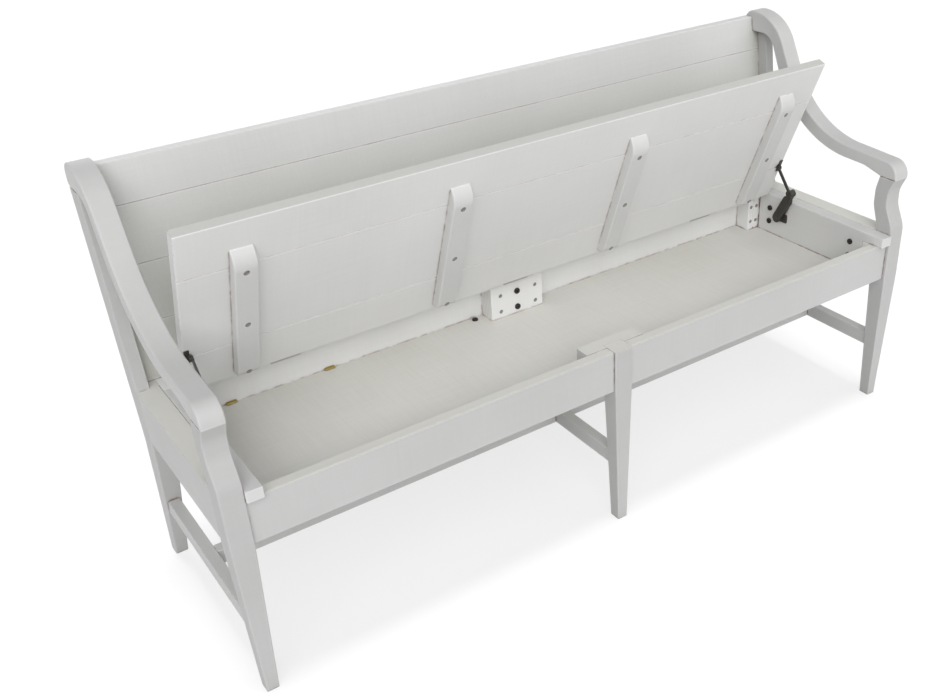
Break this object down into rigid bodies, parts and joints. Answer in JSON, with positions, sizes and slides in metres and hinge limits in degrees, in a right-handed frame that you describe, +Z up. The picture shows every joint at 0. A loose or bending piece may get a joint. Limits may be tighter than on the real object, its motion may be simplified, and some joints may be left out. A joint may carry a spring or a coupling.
{
  "type": "storage bench with back",
  "caption": "Painted wooden bench with plank back, swept arms and a hinged plank lid over a storage box, held open by folding stays.",
  "frame": {"origin": "on the floor, under the middle of the bench", "axes": "+X along the bench to the right as seen from the front, -Y to the front, +Z up"},
  "size_m": [1.7, 0.533, 0.889],
  "materials": {
    "painted_wood": "worn pale grey paint",
    "floor_paint": "pale grey paint",
    "block_ply": "painted plywood",
    "stay_black": "satin",
    "bolt_black": "black",
    "screw_steel": "dull",
    "hinge_steel": "satin",
    "clip_brass": "aged"
  },
  "bodies": {
    "frame": {"front_leg_left": "painted_wood", "rear_leg_left": "painted_wood", "arm_left": "painted_wood", "front_rail_left": "painted_wood", "rear_rail_left": "painted_wood", "side_rail_left": "painted_wood", "end_board_left": "painted_wood", "front_corner_block_left": "painted_wood", "rear_corner_block_left": "painted_wood", "stretcher_left": "painted_wood", "long_stretcher_left": "painted_wood", "front_leg_right": "painted_wood", "rear_leg_right": "painted_wood", "arm_right": "painted_wood", "front_rail_right": "painted_wood", "rear_rail_right": "painted_wood", "side_rail_right": "painted_wood", "end_board_right": "painted_wood", "front_corner_block_right": "painted_wood", "rear_corner_block_right": "painted_wood", "stretcher_right": "painted_wood", "long_stretcher_right": "painted_wood", "front_leg_centre": "painted_wood", "rear_leg_centre": "painted_wood", "stretcher_centre": "painted_wood", "front_centre_block": "painted_wood", "rear_centre_block": "block_ply", "floor_panel": "floor_paint", "rear_seat_board": "painted_wood", "back_plank_1": "painted_wood", "back_plank_2": "painted_wood", "back_plank_3": "painted_wood", "back_plank_4": "painted_wood", "frame_bolts": "bolt_black", "floor_bolt": "bolt_black", "block_screws": "screw_steel", "hinge_leaves_fixed": "hinge_steel", "hinge_pins": "hinge_steel", "panel_clips": "clip_brass", "stay_bracket_left": "stay_black", "stay_bracket_right": "stay_black"},
    "lid": {"lid_plank_rear": "painted_wood", "lid_plank_middle": "painted_wood", "lid_plank_front": "painted_wood", "lid_batten_1": "painted_wood", "lid_batten_2": "painted_wood", "lid_batten_3": "painted_wood", "lid_batten_4": "painted_wood", "batten_screws": "screw_steel", "hinge_leaves_lid": "hinge_steel", "stay_lid_bracket_left": "stay_black", "stay_lid_bracket_right": "stay_black"},
    "stay_body_left": {"stay_body_left": "stay_black"},
    "stay_rod_left": {"stay_rod_left": "stay_black"},
    "stay_body_right": {"stay_body_right": "stay_black"},
    "stay_rod_right": {"stay_rod_right": "stay_black"}
  },
  "joints": [
    {"name": "lid_hinge", "type": "hinge", "parent": "frame", "child": "lid", "pos_m": [0, 0.1335, 0.46], "axis": [1, 0, 0], "range_deg": [0, 68.2]},
    {"name": "stay_foot_left", "type": "hinge", "parent": "frame", "child": "stay_body_left", "pos_m": [-0.765, 0.0625, 0.405], "axis": [1, 0, 0], "range_deg": [0, 76.5]},
    {"name": "stay_lid_pivot_left", "type": "hinge", "parent": "lid", "child": "stay_rod_left", "pos_m": [-0.7575, 0.06507, 0.54087], "axis": [1, 0, 0], "range_deg": [-82.5, 0]},
    {"name": "stay_foot_right", "type": "hinge", "parent": "frame", "child": "stay_body_right", "pos_m": [0.765, 0.0625, 0.405], "axis": [1, 0, 0], "range_deg": [0, 76.5]},
    {"name": "stay_lid_pivot_right", "type": "hinge", "parent": "lid", "child": "stay_rod_right", "pos_m": [0.7575, 0.06507, 0.54087], "axis": [1, 0, 0], "range_deg": [-82.5, 0]}
  ],
  "couplings": [
    {"joint": "stay_foot_left", "follows": "lid_hinge", "ratio": 1.1182},
    {"joint": "stay_lid_pivot_left", "follows": "lid_hinge", "ratio": -1.2068},
    {"joint": "stay_foot_right", "follows": "lid_hinge", "ratio": 1.1182},
    {"joint": "stay_lid_pivot_right", "follows": "lid_hinge", "ratio": -1.2068}
  ]
}
